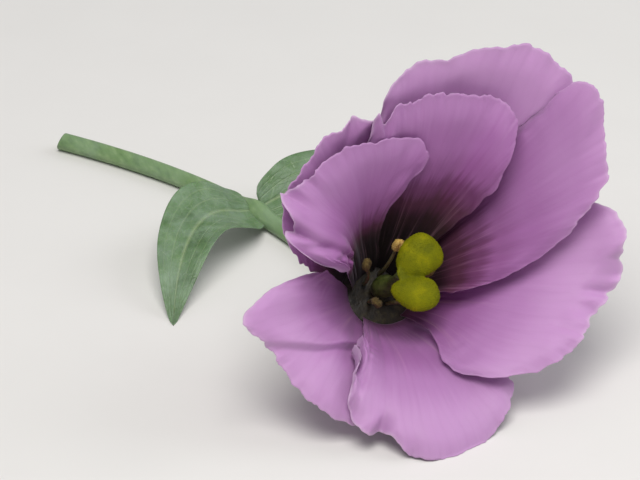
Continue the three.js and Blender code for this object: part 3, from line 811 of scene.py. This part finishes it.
def lobe(half_sizes, centre, turn, tilt, rows=32, sides=48):
    phi = np.linspace(0.02, np.pi - 0.02, rows)[:, None]
    theta = np.linspace(0, 2 * np.pi, sides, endpoint=False)[None]
    points = np.stack([np.cos(phi) + 0 * theta, np.sin(phi) * np.cos(theta), np.sin(phi) * np.sin(theta)], -1)
    points[..., 1] *= 1 + 0.22 * points[..., 0]
    points[..., 2] *= 1 + 0.1 * points[..., 0]
    lumps = 1 + 0.07 * waves(points[..., 0] * 1.6, points[..., 1] * 1.6, turn * 9)
    points = turned_by(turned_by(points * lumps[..., None] * half_sizes, tilt, 0, 2), turn, 0, 1) + centre
    return loft("lobe", bloom_to_row(points))


LOBES = [{"half_sizes": (4.4, 3.7, 1.9), "centre": (3.0, 2.3, 17.3), "turn": math.radians(30)},
         {"half_sizes": (4.4, 3.1, 1.8), "centre": (1.1, -4.0, 17.1), "turn": math.radians(-24)}]
lobes = [lobe(tilt=math.radians(14), **numbers) for numbers in LOBES]
neck_profile = [(0.3, 14.6), (0.9, 14.7), (1.2, 15.4), (1.6, 16.4), (2.0, 17.2), (0.3, 17.3)]
stigma = joined("stigma_lobes", lobes + [loft("neck", turned(neck_profile, 32, axis=(0.5, 0)))])


def converted(piece):
    mesh = bpy.data.meshes.new_from_object(piece.evaluated_get(bpy.context.evaluated_depsgraph_get()))
    piece.modifiers.clear()
    piece.data = mesh
    return piece


def with_modifiers(piece, *modifiers):
    for kind, settings in modifiers:
        modifier = piece.modifiers.new(kind.lower(), kind)
        for key, value in settings.items():
            setattr(modifier, key, value)
    converted(piece).data.shade_smooth()


with_modifiers(stigma, ("REMESH", {"mode": "VOXEL", "voxel_size": 0.2 * MM}),
               ("SMOOTH", {"factor": 0.5, "iterations": 4}))
print("stigma:", len(stigma.data.polygons), "faces")


# %% Geometry Nodes: how each tree starts and ends
def start_tree(name, inputs):
    tree = bpy.data.node_groups.new(name, "GeometryNodeTree")
    face = tree.interface
    face.new_socket("Geometry", in_out="INPUT", socket_type="NodeSocketGeometry")
    for label, kind, value in inputs:
        face.new_socket(label, in_out="INPUT", socket_type="NodeSocket" + kind).default_value = value
    face.new_socket("Material", in_out="INPUT", socket_type="NodeSocketMaterial")
    face.new_socket("Geometry", in_out="OUTPUT", socket_type="NodeSocketGeometry")
    return tree, tree.nodes.new("NodeGroupInput").outputs


def end_tree(tree, given, geometry):
    finish = node(tree, "GeometryNodeSetMaterial", {"Geometry": geometry, "Material": given["Material"]})
    result = tree.nodes.new("NodeGroupOutput").inputs
    tree.links.new(finish.outputs["Geometry"], result["Geometry"])
    return tree


# %% Geometry Nodes: beads over a surface
def beads_tree(name):
    tree, given = start_tree(name, (("Density", "Float", 1e7), ("Spacing", "Float", 0.0003),
                                    ("Bead Radius", "Float", 0.0001), ("Seed", "Int", 1)))
    scatter = node(tree, "GeometryNodeDistributePointsOnFaces", {
        "Mesh": given["Geometry"], "Distance Min": given["Spacing"], "Density Max": given["Density"],
        "Seed": given["Seed"]}, distribute_method="POISSON")
    bead = node(tree, "GeometryNodeMeshIcoSphere", {"Radius": given["Bead Radius"], "Subdivisions": 1})
    size = node(tree, "FunctionNodeRandomValue", {2: 0.7, 3: 1.25, "Seed": given["Seed"]})
    beads = node(tree, "GeometryNodeInstanceOnPoints", {
        "Points": scatter.outputs["Points"], "Instance": bead.outputs["Mesh"], "Scale": size.outputs[1]})
    real = node(tree, "GeometryNodeRealizeInstances", {"Geometry": beads.outputs["Instances"]})
    both = node(tree, "GeometryNodeJoinGeometry")
    tree.links.new(real.outputs["Geometry"], both.inputs["Geometry"])
    tree.links.new(given["Geometry"], both.inputs["Geometry"])
    smooth = node(tree, "GeometryNodeSetShadeSmooth", {"Geometry": both.outputs["Geometry"]})
    return end_tree(tree, given, smooth.outputs[0])


def grown(piece, tree, **values):
    modifier = piece.modifiers.new(tree.name, "NODES")
    modifier.node_group = tree
    sockets = {item.name: item.identifier for item in tree.interface.items_tree if item.in_out == "INPUT"}
    for label, value in values.items():
        modifier[sockets[label.replace("_", " ")]] = value
    return converted(piece)


BEADS = beads_tree("surface_beads")
grown(stigma, BEADS, Density=2e7, Spacing=0.00028, Bead_Radius=0.00011, Seed=3, Material=stigma_material)
dress(stigma, "stigma", stigma_material)

# %% [markdown]
# ## Stamens
#
# Five pale filaments stand round the ovary, and each ends in a two-celled anther dusted with pollen. A
# filament is a tapering tube. An anther is a lofted body with a furrow down each face, and the same bead
# tree, with larger and fewer beads, gives the pollen. Their colours carry painted shade of the throat: the
# filaments are darkened from their pale tone, and all anthers but the first are mostly dark brown in place of
# pollen yellow.

# %% Stamen materials
filament_material, tree, shader = new_material(
    "filament_in_painted_shade", Subsurface_Weight=0.3, Subsurface_Scale=0.0006)
place = coords(tree)
# Painted shade: the filaments' pale tan is darkened for the throat they stand in.
pale = ramp(tree, grain(tree, place, 700.0, 2), [(0.3, (96, 88, 52)), (0.7, (132, 120, 82))])
coloured(tree, shader, pale, remap(tree, grain(tree, place, 1500.0), 0.4, 0.6))

anther_material, tree, shader = new_material("anther_pollen", Sheen_Weight=0.05, Specular_IOR_Level=0.2)
place = coords(tree)
dust = grain(tree, place, 2400.0, 3, 0.7)
# Painted shade: the dark brown stands in for the shade on the anthers deep in the throat; the yellow is the
# pollen's own colour.
painted_shade_brown = ramp(tree, dust, [(0.3, (58, 46, 24)), (0.5, (82, 68, 36)), (0.75, (112, 96, 56))])
unshaded = ramp(tree, dust, [(0.3, (176, 134, 62)), (0.5, (208, 172, 92)), (0.75, (232, 208, 140))])
coloured(tree, shader, blend(tree, mark(tree, "unshaded"), painted_shade_brown, unshaded), remap(tree, dust, 0.7, 0.95))
bumped(tree, shader, dust, 0.06)

# %% Stamens
STAMEN_COUNT, STAMEN_FIRST = 5, 74
STAMEN_FOOT, STAMEN_REACH, STAMEN_HEIGHT, FILAMENT_RADIUS = 2.95, 5.3, 10, 0.4
ANTHER_HALF_WIDTH, ANTHER_HALF_DEPTH, ANTHER_HALF_LENGTH, ANTHER_LEAN = 0.85, 1.05, 1.7, math.radians(20)
# How much of each anther keeps its pollen yellow rather than the painted shade brown.
ANTHER_UNSHADED = (1.0, 0.06, 0.0, 0.0, 0.2)


def polar(radius, azimuth, height):
    return np.array([radius * math.cos(azimuth), radius * math.sin(azimuth), height])


for k in range(STAMEN_COUNT):
    azimuth = math.radians(STAMEN_FIRST + k * 360 / STAMEN_COUNT)
    start, end = polar(STAMEN_FOOT, azimuth, FOOT_GAP), polar(STAMEN_REACH, azimuth, STAMEN_HEIGHT)
    bend = polar(STAMEN_FOOT + 0.4, azimuth, STAMEN_HEIGHT * 0.6)
    t = np.linspace(0, 1, 24)[:, None]
    line = (1 - t) ** 2 * start + 2 * t * (1 - t) * bend + t ** 2 * end
    line = np.concatenate([line, [line[-1] + (line[-1] - line[-2]) * 1.6]])
    radii = FILAMENT_RADIUS * (1 - 0.3 * np.linspace(0, 1, len(line)))
    radii[-1] *= 0.5
    filament = tube(f"filament_thread_{k + 1}", bloom_to_row(line), radii, 14)
    dress(filament, f"filament_{k + 1}", filament_material)

    angle = np.linspace(0, 2 * np.pi, 32, endpoint=False)
    furrow = 1 - 0.34 * np.exp(-((np.sin(angle) / 0.3) ** 2))
    rings = []
    for along in np.linspace(-0.995, 0.995, 22):
        size = math.sqrt(1 - abs(along) ** 2.6)
        local = np.stack([np.cos(angle) * furrow * size * ANTHER_HALF_WIDTH,
                          np.sin(angle) * furrow * size * ANTHER_HALF_DEPTH,
                          np.full(32, along * ANTHER_HALF_LENGTH)], -1)
        rings.append(turned_by(turned_by(local, -ANTHER_LEAN, 0, 2), azimuth, 0, 1)
                     + polar(STAMEN_REACH + 0.7, azimuth, STAMEN_HEIGHT + ANTHER_HALF_LENGTH + FOOT_GAP))
    anther = loft(f"anther_cells_{k + 1}", bloom_to_row(rings))
    anther.data.materials.append(anther_material)
    grown(anther, BEADS, Density=2e7, Spacing=0.00034, Bead_Radius=0.0001, Seed=k, Material=anther_material)
    add_mark(anther.data, "unshaded", np.full(len(anther.data.vertices), ANTHER_UNSHADED[k]))
    dress(anther, f"anther_{k + 1}", anther_material)

# %% [markdown]
# ## Stem
#
# The stalk leaves the calyx, bends down and lies along the table, sweeping to one side. It swells
# at the node where the leaves grow, and it ends in a clean cut. Geometry Nodes turn its middle
# line into a tube: the line carries the radius at each point, and a fluted ring runs along it.

# %% The stem's middle line, as in the solid model
STEM_TOP, STEM_END, STEM_LENGTH, STEM_SWEEP, SWEEP_START = 1.6, 1.8, 86, 0.0062, 12
NODE_SHARE, NODE_SWELL, NODE_REACH = 0.52, 0.5, 3


def stem_radius(share):
    plain = STEM_TOP + (STEM_END - STEM_TOP) * share
    return plain + NODE_SWELL * np.exp(-(((share - NODE_SHARE) * STEM_LENGTH / NODE_REACH) ** 2))


def stem_point(share):
    share = np.asarray(share, float)
    start = bloom_to_row((0, 0, -CUP_DEPTH - FOOT_GAP))
    bend = (start[2] - STEM_TOP) / (1 - math.cos(AXIS_RISE))
    y = start[1] + share * STEM_LENGTH
    ahead = np.maximum(0, start[1] + bend * math.sin(AXIS_RISE) - y)
    aside = np.maximum(0, y - start[1] - SWEEP_START)
    return np.stack([start[0] - STEM_SWEEP * aside ** 2, y,
                     stem_radius(share) + bend - np.sqrt(bend ** 2 - ahead ** 2)], -1)


# %% Stem material
stem_material, tree, shader = new_material(
    "stem_green", Subsurface_Weight=0.1, Subsurface_Scale=0.001, Subsurface_Radius=(0.6, 1.0, 0.3))
place = coords(tree)
fibres = grain(tree, stretched(tree, place, (900, 60, 900)), 1.0, 3)
green = ramp(tree, fibres, [(0.3, (92, 122, 74)), (0.5, (108, 138, 86)), (0.75, (130, 156, 106))])
waxed = place_group(tree, wax_group, Colour=green, Amount=0.32, Patch_Size=140.0)
cells = plus(tree, mark(tree, "pith"), times(tree, less(tree, grain(tree, place, 2600.0, 2), 0.5), 0.25))
pith = ramp(tree, cells, [(0.0, (196, 206, 158)), (0.5, (186, 200, 140)), (0.68, (214, 220, 176)),
                          (0.82, (128, 152, 88)), (1.0, (96, 124, 72))])
coloured(tree, shader, blend(tree, mark(tree, "cut"), waxed["Colour"], pith), waxed["Roughness"])
bumped(tree, shader, plus(tree, fibres, times(tree, waxed["Patches"], 0.3)), 0.1)


# %% Geometry Nodes: a tube along a line
def tube_tree(name):
    tree, given = start_tree(name, (("Sides", "Int", 32), ("Ribs", "Int", 4), ("Rib Height", "Float", 0.05)))
    line = node(tree, "GeometryNodeMeshToCurve", {"Mesh": given["Geometry"]})
    size = node(tree, "GeometryNodeInputNamedAttribute", {"Name": "thickness"}, data_type="FLOAT")
    ring = node(tree, "GeometryNodeCurvePrimitiveCircle", {"Resolution": given["Sides"], "Radius": 1.0})
    turn = times(tree, node(tree, "GeometryNodeSplineParameter").outputs["Factor"], 2 * math.pi)
    rib = sums(tree, "COSINE", times(tree, turn, given["Ribs"]))
    swell = plus(tree, 1.0, times(tree, rib, given["Rib Height"]))
    spot = node(tree, "GeometryNodeInputPosition").outputs[0]
    scaled = node(tree, "ShaderNodeVectorMath", {0: spot, "Scale": swell}, operation="SCALE").outputs[0]
    fluted = node(tree, "GeometryNodeSetPosition", {"Geometry": ring.outputs["Curve"], "Position": scaled})
    made = node(tree, "GeometryNodeCurveToMesh", {
        "Curve": line.outputs["Curve"], "Profile Curve": fluted.outputs["Geometry"],
        "Scale": size.outputs["Attribute"], "Fill Caps": True})
    smooth = node(tree, "GeometryNodeSetShadeSmooth", {"Geometry": made.outputs["Mesh"]})
    real = node(tree, "GeometryNodeRealizeInstances", {"Geometry": smooth.outputs[0]})
    return end_tree(tree, given, real.outputs[0])


# %% Stem
CUT_STEPS, CUT_SHARES, CUT_SLANT, CUT_REACH = (0.02, 0.04, 0.05, 0.06), (0.96, 0.72, 0.4, 0.12), 0.3, 1.5
share = np.linspace(-0.012, 1, 150)
line, radii = stem_point(np.maximum(share, 0)), stem_radius(np.clip(share, 0, 1))
line[0] = bloom_to_row((0, 0, -CUP_DEPTH + 0.6))
line[1] = bloom_to_row((0, 0, -CUP_DEPTH - 0.1))
end, end_radius = line[-1], radii[-1]
outward = (line[-1] - line[-2]) / np.linalg.norm(line[-1] - line[-2])
line = np.concatenate([line, end + np.outer(CUT_STEPS, outward)])
radii = np.concatenate([radii, np.multiply(CUT_SHARES, end_radius)])
stem = new_object("stem_stalk", line, [], {"thickness": radii * MM},
                  edges=[(k, k + 1) for k in range(len(line) - 1)])
grown(stem, tube_tree("tube_along_line"), Sides=40, Ribs=4, Rib_Height=0.025, Material=stem_material)


# %% The cut face: marks for its pith and rind, and a slight slant
spots = np.array([vertex.co for vertex in stem.data.vertices]) / MM
past = (spots - end) @ outward
from_middle = np.linalg.norm(spots - end - np.outer(past, outward), axis=1)
add_mark(stem.data, "cut", past > 0.01)
add_mark(stem.data, "pith", np.minimum(1, from_middle / end_radius))
slant = CUT_SLANT * spots[:, 2] * ease(1 + past / CUT_REACH)
stem.data.vertices.foreach_set("co", ((spots - np.outer(slant, outward)) * MM).ravel())
dress(stem, "stem", stem_material)
print("stem lowest, mm:", round(min(v.co.z for v in stem.data.vertices) / MM, 3))

# %% [markdown]
# ## Leaves
#
# The pair of leaves clasps the node. A leaf is lance-shaped, folded a little along its midrib, with
# a few long veins that run from the base to the tip. Its grid follows the solid leaf, and the veins
# are drawn in its UV map, where a line of constant width share is such a vein.

# %% Node group: long leaf veins
ribs_group, given, result = new_group(
    "long_leaf_veins", [("UV", "Vector", None)], [("Ribs", "Float"), ("Net", "Float")])
tree = ribs_group
parts = node(tree, "ShaderNodeSeparateXYZ", {0: given["UV"]}).outputs
aside = times(tree, sums(tree, "ABSOLUTE", less(tree, parts["X"], 0.5)), 2.0)
ribs = ramp(tree, aside, [(0.0, 1.0), (0.05, 0.5), (0.09, 0.0), (0.36, 0.0), (0.4, 0.45), (0.44, 0.0),
                          (0.68, 0.0), (0.72, 0.3), (0.76, 0.0)])
net = node(tree, "ShaderNodeTexVoronoi", {"Vector": stretched(tree, given["UV"], (9, 16, 1)), "Scale": 1.0,
           "Randomness": 0.9}, feature="DISTANCE_TO_EDGE").outputs["Distance"]
tree.links.new(ribs, result["Ribs"])
tree.links.new(remap(tree, net, 1.0, 0.0, 0.0, 0.08), result["Net"])

# %% Leaf material
leaf_material, tree, shader = new_material(
    "leaf_green", Subsurface_Weight=0.1, Subsurface_Scale=0.001, Subsurface_Radius=(0.5, 1.0, 0.2))
uv = coords(tree, "UV")
place = coords(tree)
lines = place_group(tree, ribs_group, UV=uv)
green = ramp(tree, grain(tree, place, 160.0, 4, 0.6), [
    (0.3, (70, 98, 60)), (0.5, (88, 118, 76)), (0.75, (112, 140, 96))])
green = blend(tree, times(tree, lines["Net"], 0.12), green, srgb(140, 160, 116))
green = blend(tree, times(tree, lines["Ribs"], 0.5), green, srgb(156, 174, 126))
green = blend(tree, times(tree, mark(tree, "outside"), 0.5), green, srgb(134, 154, 128))
waxed = place_group(tree, wax_group, Colour=green, Amount=0.45, Patch_Size=230.0)
coloured(tree, shader, waxed["Colour"], waxed["Roughness"])
relief = less(tree, waxed["Patches"], plus(tree, lines["Ribs"],
              times(tree, lines["Net"], 0.3)))
bumped(tree, shader, relief, 0.14)

# %% Leaves
LEAF_HALF_WIDTH, LEAF_FOLD, LEAF_WAVE, LEAF_ROOT_HEIGHT = 5.4, 1.3, 0.7, 2.6
LEAF_ROOT_TWIST, LEAF_TOUCH, LEAF_THICKNESS = math.radians(40), 0.97, 0.4
LEAVES = [{"side": -1, "out": 37, "forward": 19, "arch": 7.5},
          {"side": 1, "out": 29, "forward": 26, "arch": 5.5}]
LEAF_ROWS, LEAF_COLUMNS = 110, 44
LEAF_CLASP, MIDRIB_DEPTH, MIDRIB_WIDTH, PATH_STEPS = 1.5, 0.35, 0.55, 400

for k, leaf in enumerate(LEAVES):
    side = leaf["side"]
    knot = stem_point(NODE_SHARE)
    back = stem_point(NODE_SHARE + 0.001) - stem_point(NODE_SHARE - 0.001)
    back[2] = 0
    back /= np.linalg.norm(back)
    away = np.array([side * back[1], -side * back[0], 0])
    clear = STEM_END + NODE_SWELL + FOOT_GAP

    def plan(out, forward):
        return np.array([knot[0], knot[1], 0]) + away * out - back * forward

    corners = (plan(clear, 0), plan(leaf["out"] * 0.62, leaf["forward"] * 0.16),
               plan(leaf["out"], leaf["forward"]))
    t = np.linspace(0, 1, PATH_STEPS)[:, None]
    path = (1 - t) ** 2 * corners[0] + 2 * t * (1 - t) * corners[1] + t ** 2 * corners[2]
    slope = 2 * (1 - t) * (corners[1] - corners[0]) + 2 * t * (corners[2] - corners[1])
    length = np.concatenate([[0], np.cumsum(np.linalg.norm(np.diff(path, axis=0), axis=1))])
    share = np.linspace(0, 1, LEAF_ROWS)
    step = np.arange(PATH_STEPS)
    steps = np.interp(share * length[-1], length, step)
    path, slope = (np.stack([np.interp(steps, step, values[:, i]) for i in range(3)], 1)
                   for values in (path, slope))
    slope /= np.linalg.norm(slope, axis=1, keepdims=True)
    half = LEAF_HALF_WIDTH * (np.sin(np.pi * share ** 0.62) ** 0.9 + 0.42 * (1 - share))
    half += 0.3 * (1 - share ** 8) + 0.06
    rise = (leaf["arch"] * np.sin(np.pi * np.minimum(1, share / LEAF_TOUCH) ** 0.9)
            + LEAF_ROOT_HEIGHT * (1 - share) ** 2)
    twist = (LEAF_ROOT_TWIST * (1 - ease(share / 0.5)))[:, None]
    level = np.stack([-slope[:, 1], slope[:, 0], 0 * share], 1)
    up = np.array([0, 0, 1])
    wide = level * np.cos(twist) + up * side * np.sin(twist)
    normal = -level * side * np.sin(twist) + up * np.cos(twist)
    place = np.linspace(-1, 1, LEAF_COLUMNS)[None]
    row = share[:, None]
    wave = LEAF_WAVE * place ** 2 * np.sin(4.2 * np.pi * row + 1.2 * place + side) * (1 - row ** 3)
    fold = LEAF_FOLD * np.sqrt(place ** 2 + 0.012) * (half[:, None] / LEAF_HALF_WIDTH)
    fold = fold * (1 - 0.8 * row ** 4)
    path[:, 2] = rise
    clasp = -LEAF_CLASP * (1 - ease(row / 0.07)) - 0.3 * place ** 2 * (1 - ease(row / 0.12))
    clasp = away * clasp[..., None]
    middle = path[:, None] + wide[:, None] * (place * half[:, None])[..., None] + clasp
    midrib = MIDRIB_DEPTH * np.exp(-((place * half[:, None] / MIDRIB_WIDTH) ** 2)) * (1 - 0.7 * row)
    thin = LEAF_THICKNESS * (0.45 + 0.55 * ease((1 - np.abs(place)) / 0.2)) * (1 - 0.4 * row)
    upper = pressed(middle + normal[:, None] * (fold + wave + thin / 2 - 0.4 * midrib)[..., None], 0.3)
    lower = pressed(middle + normal[:, None] * (fold + wave - thin / 2 - midrib)[..., None], 0.0)
    uv = np.stack([0.5 + place / 2 + 0 * row, row + 0 * place], -1)
    blade = skin(f"leaf_blade_{k + 1}", upper, lower, {}, uv)
    dress(blade, f"leaf_{k + 1}", leaf_material)

# %% [markdown]
# ## Table and light
#
# A pale table and soft light let the lilac speak. The main light is a large soft panel above and
# in front, so that the lower petals catch it and the throat stays dark. A weaker panel from the
# right and a pale sky fill the shadows.

# %% Table
TABLE_HALF = 1.5
table = new_object("table", np.array([(-1, -1, 0), (1, -1, 0), (1, 1, 0), (-1, 1, 0)]) * TABLE_HALF / MM,
                   [(0, 1, 2, 3)])
table_material, tree, shader = new_material("table_matte", Roughness=0.85)
coloured(tree, shader, ramp(tree, grain(tree, coords(tree), 60.0, 3), [
    (0.3, (224, 222, 219)), (0.7, (225, 223, 220))]))
table.data.materials.append(table_material)


# %% Lights
def panel(name, place, width, power, colour):
    light = bpy.data.lights.new(name, "AREA")
    light.shape, light.size, light.energy, light.color = "SQUARE", width, power, colour
    placed(name, light, place, Vector(place))


panel("main_light", (-0.14, -0.34, 0.78), 0.5, 5.8, (1.0, 0.98, 0.96))
panel("side_light", (0.7, -0.1, 0.45), 0.6, 2.0, (0.94, 0.97, 1.0))
world = bpy.data.worlds.new("sky")
world.use_nodes = True
world.node_tree.nodes["Background"].inputs["Color"].default_value = (0.86, 0.88, 0.9, 1)
world.node_tree.nodes["Background"].inputs["Strength"].default_value = 0.38
bpy.context.scene.world = world
bpy.context.scene.view_settings.view_transform = "Standard"
